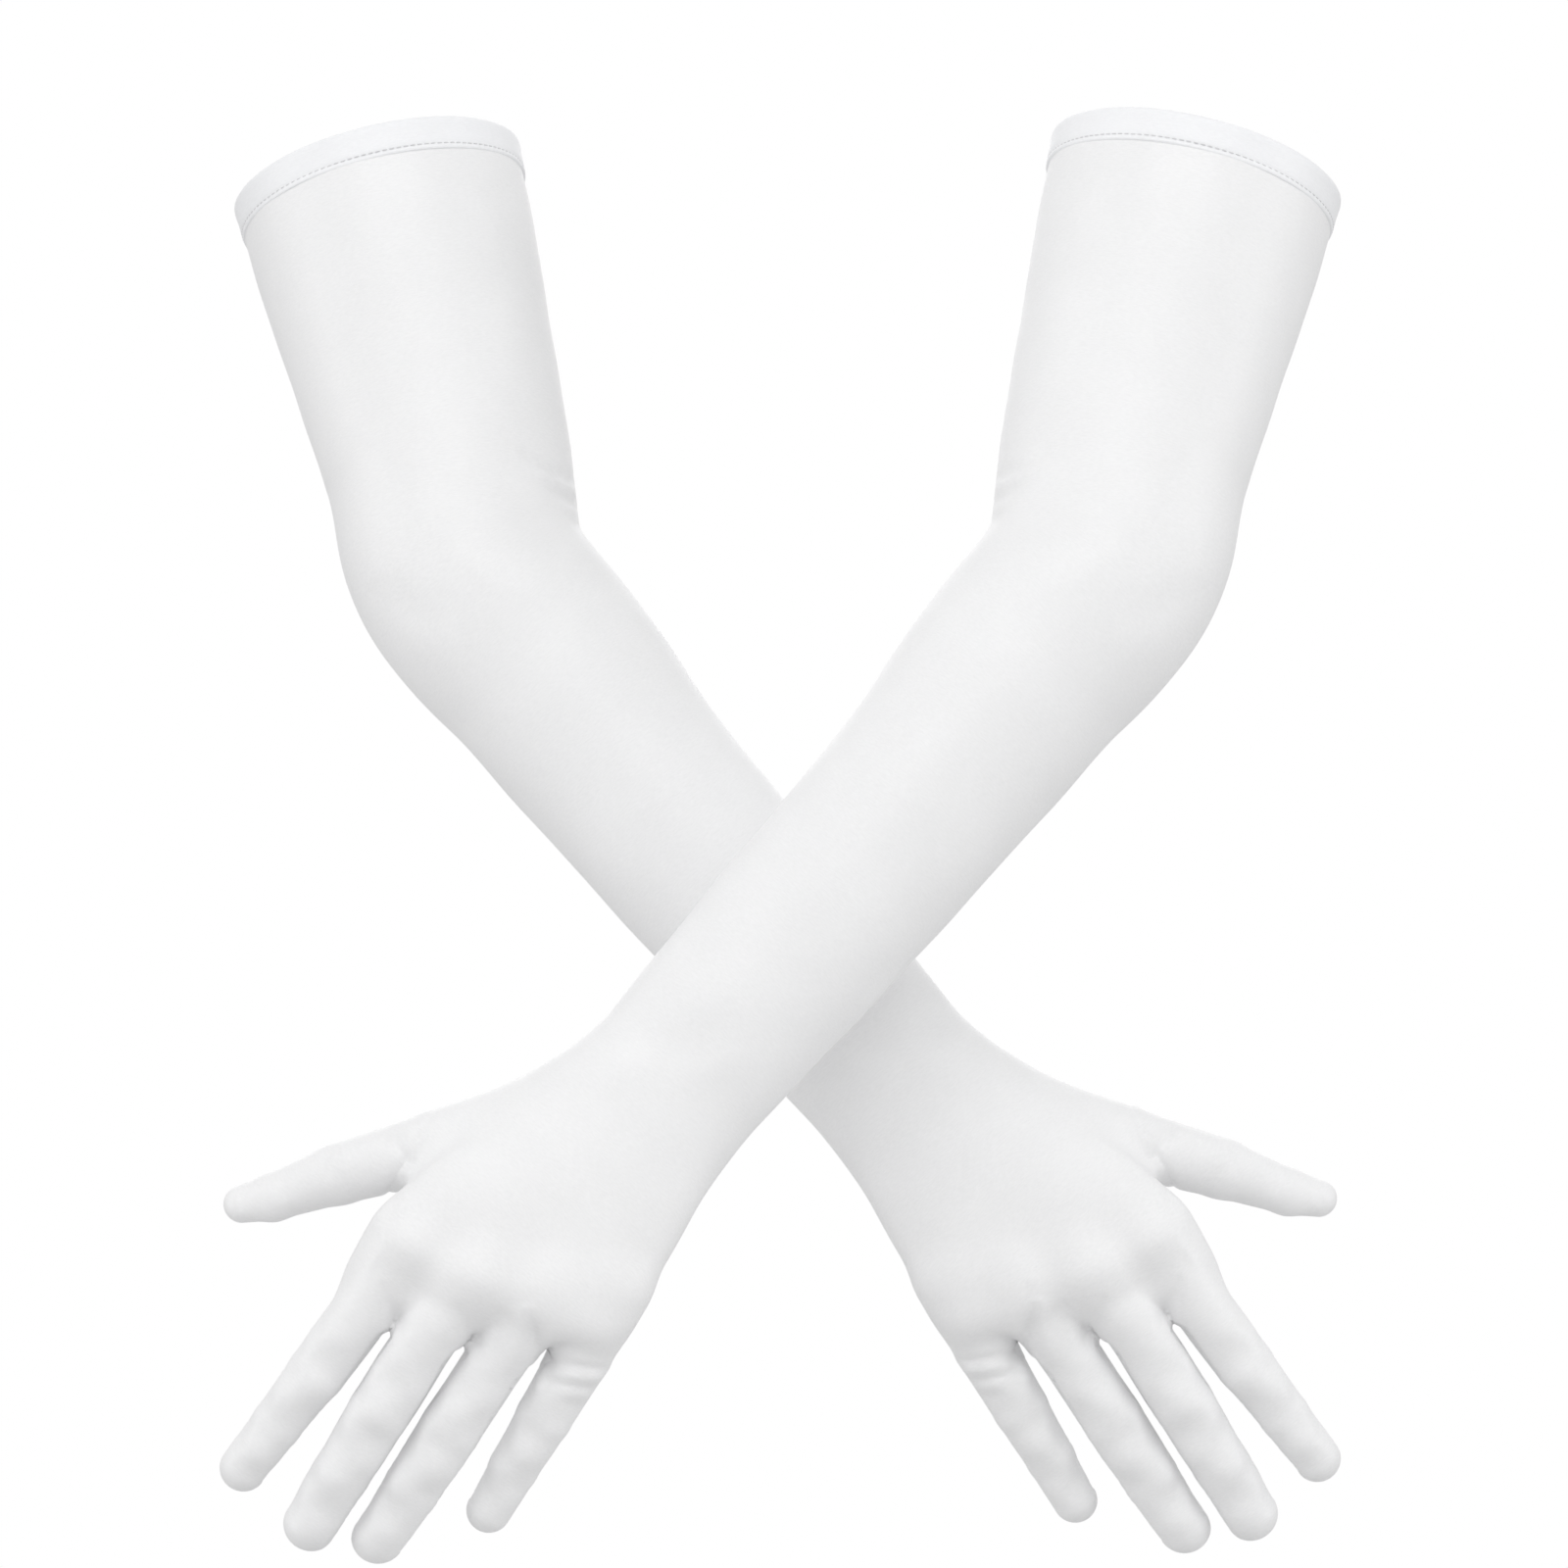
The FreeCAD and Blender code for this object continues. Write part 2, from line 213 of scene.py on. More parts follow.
def limb_place(p):
    """Distance along the limb, and the place across it (towards the thumb, towards the palm)."""
    t = np.interp(-p[:, 2], -LIMB[:, 2], LIMB_AT)
    for _ in range(5):
        tangent = limb_at(t, LIMB_TANGENT)
        t = np.clip(t + 0.8 * ((p - limb_at(t, LIMB[:, :3])) * tangent).sum(1), 0, LIMB_AT[-1])
    tangent = limb_at(t, LIMB_TANGENT)
    across = np.cross(tangent, -FRONT)
    across /= np.linalg.norm(across, axis=1)[:, None]
    palmwards = np.cross(across, tangent)
    offset = p - limb_at(t, LIMB[:, :3])
    return t, (offset * across).sum(1), (offset * palmwards).sum(1)


def limb_field(p):
    """Field of the sleeve, forearm and palm."""
    t, x, y = limb_place(p)
    width, depth, power = limb_at(t, LIMB[:, 3:]).T
    far = (np.abs(x / width) ** power + np.abs(y / depth) ** power) ** (1 / power)
    radius = np.hypot(x, y)
    field = radius - radius / np.maximum(far, 1e-3)
    beyond = (p - CROTCH) @ CROTCH_NORMAL + 8.0
    return smooth_both(field, beyond, PALM_END_BLEND)


def cone_field(p, start, start_radius, end, end_radius):
    """Field of a tapered rod with round ends."""
    line = end - start
    k = np.clip((p - start) @ line / (line @ line), 0, 1)
    radius = start_radius + (end_radius - start_radius) * k
    return np.linalg.norm(p - start - k[:, None] * line, axis=1) - radius


def chain_field(p, chain, blend):
    """Field of tapered rods end to end."""
    field = None
    for (start, start_radius), (end, end_radius) in zip(chain, chain[1:]):
        rod = cone_field(p, start, start_radius, end, end_radius)
        field = rod if field is None else smooth_union(field, rod, blend)
    return field


def across_finger(axis):
    """Directions across a finger: towards the thumb side, and towards the back of the hand."""
    side = unit(np.cross(axis, -FRONT))
    return side, np.cross(axis, side)


def finger_chain(name):
    """Knuckle, base, middle joint, end joint and tip of a finger, with their radii."""
    knuckle, base, tip, radii, _ = FINGERS[name]
    _, back = across_finger(unit(tip - base))
    middle = base + (tip - base) * 0.40 + back * 1.5
    last = base + (tip - base) * 0.72 + back * 1.0
    return list(zip((knuckle, base, middle, last, tip), radii))


def between_fingers(p, name, other):
    """Field of one finger's side of the narrow gap between two fingers."""
    _, base, tip, _, _ = FINGERS[name]
    _, other_base, other_tip, _, _ = FINGERS[other]
    middle = (base + other_base) / 2
    axis = unit((tip + other_tip) / 2 - middle)
    towards = base - other_base
    towards = unit(towards - axis * (towards @ axis))
    above_crotch = np.maximum(0, 4 - (p - CROTCH) @ CROTCH_NORMAL)
    return FINGER_GAP / 2 - (p - middle) @ towards - 2 * above_crotch


def finger_field(p, name):
    """Field of one finger, flattened where it lies beside the next."""
    finger = chain_field(p, finger_chain(name), FINGER_JOINT_BLEND)
    place = NAMES.index(name)
    for other in NAMES[max(0, place - 1):place] + NAMES[place + 1:place + 2]:
        finger = smooth_both(finger, between_fingers(p, name, other), FINGER_SIDE_BLEND)
    return finger


def thumb_field(p):
    """Field of the thumb."""
    return chain_field(p, THUMB, THUMB_JOINT_BLEND)


def glove_field(p):
    """Field of the whole glove: below zero inside."""
    palm = limb_field(p)
    for start, start_radius, end, end_radius in PALM_PADS:
        palm = smooth_union(palm, cone_field(p, start, start_radius, end, end_radius), PAD_BLEND)
    above_crotch = np.clip(-((p - CROTCH) @ CROTCH_NORMAL) * 0.6, 0.05, 5.0)
    fingers = finger_field(p, NAMES[0])
    for name in NAMES[1:]:
        fingers = smooth_union(fingers, finger_field(p, name), above_crotch)
    palm = smooth_union(palm, fingers, FINGER_ROOT_BLEND)
    return smooth_union(palm, thumb_field(p), THUMB_ROOT_BLEND)


def field_slope(p, reach=0.1):
    """Gradient of the glove's field."""
    slope = np.empty_like(p)
    for axis in range(3):
        shift = np.zeros(3)
        shift[axis] = reach
        slope[:, axis] = (glove_field(p + shift) - glove_field(p - shift)) / (2 * reach)
    return slope


def onto_surface(p, rounds=3):
    """Points moved onto the field's zero level."""
    for _ in range(rounds):
        slope = field_slope(p)
        length2 = np.maximum((slope * slope).sum(1), 0.05)
        step = glove_field(p) / length2
        p = p - slope * np.clip(step, -6.0, 6.0)[:, None]
    return p


# ---- the skin ----


def sampled_field(low, high, voxel):
    """The field on a grid, worked out only near the surface."""
    block = 8
    counts = np.ceil((high - low) / (voxel * block)).astype(int)
    values = np.full(counts * block, 99.0, np.float32)
    index = np.stack(np.meshgrid(*[np.arange(c) for c in counts], indexing="ij"), -1).reshape(-1, 3)
    rough = glove_field(low + (index + 0.5) * block * voxel)
    for i, j, k in index[rough < 0] * block:
        values[i:i + block, j:j + block, k:k + block] = -99.0
    offsets = np.stack(np.meshgrid(*[np.arange(block)] * 3, indexing="ij"), -1).reshape(-1, 3)
    near = index[np.abs(rough) < 1.3 * block * voxel]
    for batch in np.array_split(near, max(1, len(near) // 800)):
        cells = (batch[:, None, :] * block + offsets[None]).reshape(-1, 3)
        values[cells[:, 0], cells[:, 1], cells[:, 2]] = glove_field(low + cells * voxel)
    return values


def surface_nets(low, values, voxel):
    """Vertices and four-sided faces of the zero level of a grid of values."""
    inside = values < 0
    corners = [(i, j, k) for i in (0, 1) for j in (0, 1) for k in (0, 1)]
    size = np.array(values.shape) - 1
    total = np.zeros(size, np.int8)
    for corner in corners:
        total += inside[tuple(slice(c, c + s) for c, s in zip(corner, size))]
    mixed = (total > 0) & (total < 8)
    cells = np.argwhere(mixed)
    number = np.full(mixed.shape, -1, np.int64)
    number[mixed] = np.arange(len(cells))
    sums = np.zeros((len(cells), 3))
    hits = np.zeros(len(cells))
    for a in corners:
        for axis in range(3):
            if a[axis]:
                continue
            step = (np.arange(3) == axis).astype(int)
            va = values[tuple((cells + a).T)].astype(float)
            vb = values[tuple((cells + a + step).T)].astype(float)
            crosses = (va < 0) != (vb < 0)
            k = np.where(crosses, va / np.where(crosses, va - vb, 1.0), 0.0)
            sums += (np.array(a, float) + k[:, None] * step) * crosses[:, None]
            hits += crosses
    faces = []
    for axis in range(3):
        second, third = [n for n in range(3) if n != axis]
        ahead = [slice(None)] * 3
        behind = [slice(None)] * 3
        ahead[axis] = slice(1, None)
        behind[axis] = slice(None, -1)
        flips = np.argwhere(inside[tuple(ahead)] != inside[tuple(behind)])
        flips = flips[(flips[:, second] > 0) & (flips[:, third] > 0)]
        flips = flips[(flips < np.array(number.shape)).all(1)]
        around = []
        for back_second, back_third in ((0, 0), (1, 0), (1, 1), (0, 1)):
            cell = flips.copy()
            cell[:, second] -= back_second
            cell[:, third] -= back_third
            around.append(number[tuple(cell.T)])
        quad = np.stack(around, 1)
        backwards = inside[tuple(flips.T)] == (axis == 1)
        quad[backwards] = quad[backwards][:, ::-1]
        faces.append(quad[(quad >= 0).all(1)])
    return low + (cells + sums / hits[:, None]) * voxel, np.concatenate(faces)


def face_centres(bm):
    """Middle of each face."""
    return np.array([face.calc_center_median() for face in bm.faces])


def vertex_places(bm):
    """Place of each vertex."""
    return np.array([vertex.co for vertex in bm.verts])


def slice_faces(bm, chosen, origin, normal, drop_before=False):
    """Cuts the chosen faces along a plane; drop_before also deletes what lies behind the plane."""
    faces = [face for face, wanted in zip(bm.faces, chosen) if wanted]
    edges = {edge for face in faces for edge in face.edges}
    corners = {vertex for face in faces for vertex in face.verts}
    bmesh.ops.bisect_plane(
        bm, geom=faces + list(edges) + list(corners), dist=1e-4,
        plane_co=Vector(origin), plane_no=Vector(normal), clear_inner=drop_before,
    )


def slice_all(bm, origin, normal, drop_before=False):
    """Cuts every face along a plane."""
    slice_faces(bm, np.ones(len(bm.faces), bool), origin, normal, drop_before)


def nearest_finger(p):
    """Number of the finger stall whose surface is nearest, for each point."""
    return np.argmin([chain_field(p, finger_chain(name)[1:], FINGER_JOINT_BLEND) for name in NAMES], axis=0)


def finger_place(name, p):
    """Distance along a finger from its base, and across it towards the thumb and the back."""
    _, base, tip, _, _ = FINGERS[name]
    axis = unit(tip - base)
    side, back = across_finger(axis)
    offset = p - base
    return offset @ axis, offset @ side, offset @ back


def fourchette_half(name, s):
    """Half width of a fourchette: widest at the crotch, and pointed at the finger's tip."""
    _, base, tip, _, _ = FINGERS[name]
    length = np.linalg.norm(tip - base)
    return FOURCHETTE_HALF * (1 - (s - FINGER_CUT) / (length - FINGER_CUT))


def cut_finger(bm, name, number):
    """Cuts one stall from the hand, and its fourchettes from the stall."""
    _, base, tip, _, sides = FINGERS[name]
    length = np.linalg.norm(tip - base)
    axis = unit(tip - base)
    _, back = across_finger(axis)
    centres = face_centres(bm)
    s, _, _ = finger_place(name, centres)
    mine = (nearest_finger(centres) == number) & (np.abs(s - FINGER_CUT) < 4)
    slice_faces(bm, mine, base + axis * FINGER_CUT, axis)
    for towards in (1, -1):
        centres = face_centres(bm)
        s, x, _ = finger_place(name, centres)
        mine = (nearest_finger(centres) == number) & (s > FINGER_CUT) & (s < length)
        mine &= np.isin(np.sign(x), sides)
        slope = back * towards * (length - FINGER_CUT) + axis * FOURCHETTE_HALF
        slice_faces(bm, mine, tip, unit(slope))


def skin_between(low, high, voxel):
    """The glove's skin in a box, as one mesh of small faces."""
    verts, quads = surface_nets(low, sampled_field(low, high, voxel), voxel)
    mesh = bpy.data.meshes.new("skin")
    mesh.from_pydata(onto_surface(verts).tolist(), [], quads.tolist())
    bm = bmesh.new()
    bm.from_mesh(mesh)
    bpy.data.meshes.remove(mesh)
    return bm


def arm_skin():
    """The sleeve as one sheet, from under the hem's lower edge, cut where the hand's cloth starts."""
    bm = skin_between(RIM + point(-54, -104, -252), RIM + point(152, 50, 14), ARM_VOXEL)
    slice_all(bm, RIM + UPPER_ARM * (HEM_DEPTH - 0.8), UPPER_ARM, drop_before=True)
    slice_all(bm, FOREARM_CUT, unit(WRIST - FOREARM))
    return bm


def hand_skin():
    """The hand and forearm as one sheet, cut where the sleeve's cloth ends and at the seams."""
    bm = skin_between(WRIST - point(100, 48, 160), WRIST + point(146, 42, 84), HAND_VOXEL)
    slice_all(bm, FOREARM_CUT, unit(WRIST - FOREARM))
    for number, name in enumerate(NAMES):
        cut_finger(bm, name, number)
    centres = face_centres(bm)
    near = np.linalg.norm(centres - THUMB_SEAM, axis=1) < 26
    near &= centres[:, 2] > THUMB_SEAM[2] - 16
    slice_faces(bm, near, THUMB_SEAM, THUMB_SEAM_NORMAL)
    return bm


# ---- the cloth's pieces, and its creases ----

SEWN = [f"{a}_fourchette_to_{b}" for a, b in
        (("index", "middle"), ("middle", "index"), ("middle", "ring"),
         ("ring", "middle"), ("ring", "little"), ("little", "ring"))]
PIECES = ["sleeve", "hand", "thumb"] + [name + "_finger" for name in NAMES] + SEWN
FIRST_FINGER = PIECES.index("index_finger")


def piece_numbers(centres):
    """Number in PIECES of the piece that each face belongs to."""
    number = np.where((centres - FOREARM_CUT) @ unit(WRIST - FOREARM) < 0, 0, 1)
    finger = nearest_finger(centres)
    past_crotch = (centres - CROTCH) @ CROTCH_NORMAL > -12
    for k, name in enumerate(NAMES):
        s, x, y = finger_place(name, centres)
        mine = (finger == k) & (s > FINGER_CUT) & past_crotch
        number[mine] = FIRST_FINGER + k
        for towards in FINGERS[name][4]:
            other = NAMES[k - towards]
            strip = mine & (x * towards > 0) & (np.abs(y) < fourchette_half(name, s))
            number[strip] = PIECES.index(f"{name}_fourchette_to_{other}")
    thumb = thumb_field(centres) < 3
    thumb &= (centres - THUMB_SEAM) @ THUMB_SEAM_NORMAL > 0
    thumb &= (number == 1) & (centres[:, 2] > THUMB_SEAM[2] - 45)
    number[thumb] = PIECES.index("thumb")
    return number


# Creases on the fronts of the gloves. Each has a start, a middle and an end (across and up from the
# wrist), a width, and a height, which is below zero for a hollow.
FOLDS = [
    # the row of knuckles
    ((92, -44), (64, -63), (42, -66), 5.5, 0.9),
    ((92, -56), (72, -72), (56, -76), 5.0, -1.5),
    ((56, -72), (48, -78), (38, -80), 4.5, -1.3),
    ((46, -68), (46, -80), (50, -90), 3.2, 0.9),
    # webs at the finger roots
    ((89, -62), (87, -70), (82, -79), 2.2, -0.9),
    ((66, -68), (63, -78), (58, -88), 2.2, -0.8),
    ((45, -70), (42, -80), (38, -92), 2.0, -1.0),
    # across the root of the little finger
    ((43, -84), (30, -89), (14, -89), 1.3, -0.9),
    ((43, -88), (30, -91.5), (16, -92), 1.3, 0.7),
    ((43, -91), (30, -95), (17, -95.5), 1.3, -0.8),
    ((43, -88), (41, -92), (42, -96), 1.6, 0.9),
    ((36, -98), (28, -101), (20, -101), 1.8, -0.5),
    # the crotch of the thumb
    ((90, -10), (87, -18), (80, -28), 1.5, -1.2),
    ((74, -14), (78, -21), (80, -28), 1.5, -1.0),
    ((82, -12), (82, -19), (80, -26), 2.0, 0.8),
    ((68, -8), (76, -12), (88, -14), 2.6, 0.7),
    ((84, -30), (87, -36), (87, -44), 2.2, -0.7),
    # along the thumb
    ((104, -19), (109, -25), (106, -33), 2.2, -0.8),
    ((98, -16), (103, -22), (101, -30), 2.2, 0.5),
    ((118, -25), (122, -31), (119, -38), 2.4, -0.6),
    ((129, -30), (134, -35), (132, -41), 1.1, -0.5),
    # the back of the hand and the wrist
    ((-18, 20), (-6, 10), (6, 10), 6.0, -0.5),
    ((-24, 8), (-10, 0), (4, -2), 5.0, 0.4),
    ((22, -34), (46, -36), (70, -24), 12.0, 0.9),
    # the crook of the elbow
    ((-114, 192), (-105, 184), (-92, 180), 1.5, -1.3),
    ((-110, 187), (-100, 179), (-88, 176), 1.6, 1.0),
    ((-106, 182), (-97, 173), (-86, 171), 1.4, -1.3),
    ((-101, 176), (-92, 168), (-84, 166), 1.6, 0.9),
    ((-98, 170), (-91, 164), (-84, 162), 1.3, -1.0),
    ((-120, 180), (-108, 167), (-96, 160), 4.5, -0.9),
    ((-134, 160), (-118, 150), (-100, 146), 6.0, 0.7),
    ((-160, 150), (-146, 140), (-132, 138), 7.0, -0.7),
    # down the arm
    ((-168, 240), (-150, 215), (-140, 185), 9.0, -0.5),
    ((-112, 250), (-120, 225), (-118, 200), 8.0, 0.5),
    ((-96, 120), (-76, 92), (-58, 78), 8.0, 0.5),
    ((-76, 80), (-54, 56), (-40, 36), 7.0, -0.5),
]
# Long, shallow waves over all the cloth: wave numbers per millimetre, phase and height.
WAVES = [
    ((0.07, 0.11, 0.05), 0.4, 0.16),
    ((-0.10, 0.06, 0.09), 2.1, 0.14),
    ((0.16, -0.13, 0.08), 4.0, 0.09),
    ((-0.05, 0.21, 0.19), 1.2, 0.06),
]

# Length and height of the waves along the fingers.
FINGER_WAVE = 25.0
FINGER_WAVE_HEIGHT = 0.58

# Width and depth of the groove along a seam, and the length of its puckers.
SEAM_WIDTH = 0.9
SEAM_DEPTH = 0.5
SEAM_PUCKER = 4.5


def fold_height(p, fold):
    """Height of one crease at each point."""
    start, middle, end, width, height = fold
    k = np.linspace(0, 1, 40)[:, None]
    line = (1 - k) ** 2 * point(*start) + 2 * k * (1 - k) * point(*middle) + k**2 * point(*end)
    flat = p[:, [0, 2]] - WRIST[[0, 2]]
    near = ((flat > line.min(0) - 3 * width) & (flat < line.max(0) + 3 * width)).all(1)
    gaps = np.linalg.norm(flat[near][:, None] - line[None], axis=2)
    along = gaps.argmin(1) / (len(line) - 1)
    result = np.zeros(len(p))
    result[near] = height * np.exp(-((gaps.min(1) / width) ** 2)) * np.sin(np.pi * along) ** 0.6
    return result


def creases(p, normals):
    """Height of the folds and waves in the cloth at each point."""
    height = np.zeros(len(p))
    for numbers, phase, size in WAVES:
        height += size * np.sin(p @ point(*numbers) + phase)
    facing = np.clip(normals @ FRONT * 1.6, 0, 1)
    for fold in FOLDS:
        height += fold_height(p, fold) * facing
    finger = nearest_finger(p)
    flatness = np.abs(normals @ FRONT)
    for k, name in enumerate(NAMES):
        s, x, y = finger_place(name, p)
        length = np.linalg.norm(FINGERS[name][2] - FINGERS[name][1])
        ramp = np.clip((s - 2) / 12, 0, 1) * np.clip((length + 4 - s) / 10, 0, 1)
        wave = np.sin(2 * np.pi * (s - 0.9 * x) / FINGER_WAVE + 1.7 * k)
        wave += 0.5 * np.sin(2 * np.pi * (s + 0.6 * x - 0.8 * y) / (0.6 * FINGER_WAVE) + k)
        height += np.where(finger == k, FINGER_WAVE_HEIGHT * wave * ramp * (0.05 + flatness), 0)
    return height


def vertex_normals(places, faces):
    """Smooth normals of a mesh."""
    mesh = bpy.data.meshes.new("normals")
    mesh.from_pydata(places.tolist(), [], faces)
    normals = np.empty(len(places) * 3, np.float32)
    mesh.vertex_normals.foreach_get("vector", normals)
    bpy.data.meshes.remove(mesh)
    return normals.reshape(-1, 3).astype(float)


def seam_depth(p):
    """How far the cloth is drawn in by the seams near each point."""
    across = (p - THUMB_SEAM) @ THUMB_SEAM_NORMAL
    near = (np.linalg.norm(p - THUMB_SEAM, axis=1) < 24) & (thumb_field(p) < 3)
    depth = np.where(near, np.exp(-((across / SEAM_WIDTH) ** 2)), 0)
    finger = nearest_finger(p)
    for k, name in enumerate(NAMES):
        s, x, y = finger_place(name, p)
        length = np.linalg.norm(FINGERS[name][2] - FINGERS[name][1])
        mine = (finger == k) & (s > FINGER_CUT - 3) & (s < length)
        away = np.abs(y) - fourchette_half(name, s)
        for towards in FINGERS[name][4]:
            line = mine & (x * towards > 0)
            depth = np.maximum(depth, np.where(line, np.exp(-((away / SEAM_WIDTH) ** 2)), 0))
    pucker = 1 + 0.3 * np.sin(2 * np.pi * (p[:, 0] + p[:, 2]) / SEAM_PUCKER)
    return SEAM_DEPTH * depth * pucker


def cloth_place(p, numbers_at):
    """Place on the cloth of each point, in metres: two ways across the arm or finger, and along it."""
    t, x, y = limb_place(p)
    place = np.stack([x, y, t], 1)
    for k, name in enumerate(NAMES):
        s, x, y = finger_place(name, p)
        mine = numbers_at == FIRST_FINGER + k
        place[mine] = np.stack([x, y, s], 1)[mine]
    return place * MM


def piece_mesh(name, places, normals, cloth, faces):
    """One piece of cloth with its thickness, from faces of the skin."""
    used = sorted({v for face in faces for v in face})
    new = {old: i for i, old in enumerate(used)}
    outer = [[new[v] for v in face] for face in faces]
    count = len(used)
    inner = [[v + count for v in reversed(face)] for face in outer]
    directed = {(a, b) for face in outer for a, b in zip(face, face[1:] + face[:1])}
    rim = [(b, a, a + count, b + count) for a, b in sorted(directed) if (b, a) not in directed]
    both = np.concatenate([places[used], places[used] - normals[used] * CLOTH])
    mesh = bpy.data.meshes.new(name)
    mesh.from_pydata((both * MM).tolist(), [], outer + inner + rim)
    mesh.polygons.foreach_set("use_smooth", [True] * len(mesh.polygons))
    grain = mesh.attributes.new("cloth", "FLOAT_VECTOR", "POINT")
    grain.data.foreach_set("vector", np.tile(cloth[used], (2, 1)).astype(np.float32).ravel())
    mesh.normals_split_custom_set_from_vertices(np.concatenate([normals[used], -normals[used]]).tolist())
    return mesh


def finished_skin(bm, wanted):
    """Creased skin: places, normals, places on the cloth, and the faces of each wanted piece."""
    bm.verts.index_update()
    bm.faces.index_update()
    numbers = piece_numbers(face_centres(bm))
    places = vertex_places(bm)
    faces = [[v.index for v in face.verts] for face in bm.faces]
    normals = vertex_normals(places, faces)
    at = np.zeros(len(places), int)
    for face, number in zip(faces, numbers):
        at[face] = number
    cloth = cloth_place(places, at)
    moved = creases(places, normals) - seam_depth(places)
    bm.free()
    places = places + normals * moved[:, None]
    normals = vertex_normals(places, faces)
    return [
        (PIECES[n], places, normals, cloth, [face for face, k in zip(faces, numbers) if k == n])
        for n in wanted
    ]


# ---- the hem and its stitches ----

# The turned-over hem's section: distance from the rim, and height over the cloth below it.
HEM_SECTION = [
    (-0.15, -0.35), (0.0, 0.1), (0.45, 0.42), (1.2, 0.56), (2.6, 0.5), (4.6, 0.44), (6.6, 0.46),
    (7.9, 0.5), (8.5, 0.36), (8.9, 0.22), (9.3, 0.36), (9.8, 0.5), (10.3, 0.4), (10.55, 0.1),
    (10.6, -0.3), (10.5, -0.85), (9.8, -1.15), (8.0, -1.2), (5.0, -1.2), (2.0, -1.15), (0.7, -1.0),
    (0.1, -0.75),
]


def hem_place(angle, along, height):
    """Place on the hem: angle round the arm, distance from the rim, height over the cloth."""
    side = unit(np.cross(UPPER_ARM, -FRONT))
    front = np.cross(UPPER_ARM, side)
    radius = np.interp(along, [0, SLEEVE_RADIUS_AT], [RIM_RADIUS, SLEEVE_RADIUS]) + height
    outwards = np.cos(angle)[..., None] * side + np.sin(angle)[..., None] * front
    return RIM + UPPER_ARM * np.asarray(along)[..., None] + outwards * np.asarray(radius)[..., None]


def closed_rings(rings, cap=False):
    """Faces between closed rings of vertices; the last ring joins the first, or the ends are capped."""
    count, size = rings.shape[:2]
    faces = []
    for i in range(count - 1 if cap else count):
        for j in range(size):
            k = (j + 1) % size
            n = (i + 1) % count
            faces.append((i * size + j, i * size + k, n * size + k, n * size + j))
    if cap:
        faces.append(tuple(reversed(range(size))))
        faces.append(tuple(range((count - 1) * size, count * size)))
    return faces


def hem_parts():
    """Places, cloth coordinates and faces of the hem band."""
    turns = STITCH_COUNT * 2
    angle = 2 * np.pi * np.arange(turns) / turns
    along, height = np.array(HEM_SECTION).T
    pull = np.exp(-(((along - STITCH_LINE) / 1.3) ** 2)) * (height > 0)
    pucker = 0.07 * np.cos(angle * STITCH_COUNT)[:, None] * pull
    sway = 0.12 * np.sin(3 * angle + 0.6) + 0.08 * np.sin(7 * angle)
    high = height[None] + pucker + sway[:, None] * (height > 0)
    angles = np.repeat(angle[:, None], len(along), 1)
    distances = np.tile(along, (turns, 1))
    rings = hem_place(angles, distances, high)
    cloth = np.stack([HEM_RADIUS * angles, high, distances], -1)
    return rings.reshape(-1, 3), cloth.reshape(-1, 3) * MM, closed_rings(rings)


def stitch_parts():
    """Places, cloth coordinates and faces of the stitches along the hem."""
    # along one stitch: the place from its middle, and the thickness as a share of the thread's
    shape = [(-0.78, 0.3), (-0.66, 0.75), (-0.3, 1.0), (0.3, 1.0), (0.66, 0.75), (0.78, 0.3)]
    around = 2 * np.pi * np.arange(8) / 8
    turn = 2 * np.pi / STITCH_COUNT
    places = []
    faces = []
    for n in range(STITCH_COUNT):
        middle = turn * (n + 0.25)
        rings = np.array([
            hem_place(
                middle + turn * offset / 2.2 + 0 * around,
                STITCH_LINE + THREAD_RADIUS * size * np.cos(around),
                0.34 + 0.1 * (size - 1) + THREAD_RADIUS * size * np.sin(around),
            )
            for offset, size in shape
        ])
        first = n * len(shape) * len(around)
        faces += [tuple(first + v for v in face) for face in closed_rings(rings, cap=True)]
        places.append(rings.reshape(-1, 3))
    places = np.concatenate(places)
    return places, places * MM, faces


# ---- materials ----


def noise(nodes, links, vector, scale, detail, roughness=0.5):
    """Value of a noise texture at a place on the cloth."""
    texture = nodes.new("ShaderNodeTexNoise")
    texture.inputs["Scale"].default_value = scale
    texture.inputs["Detail"].default_value = detail
    texture.inputs["Roughness"].default_value = roughness
    links.new(vector, texture.inputs["Vector"])
    return texture.outputs["Fac"]


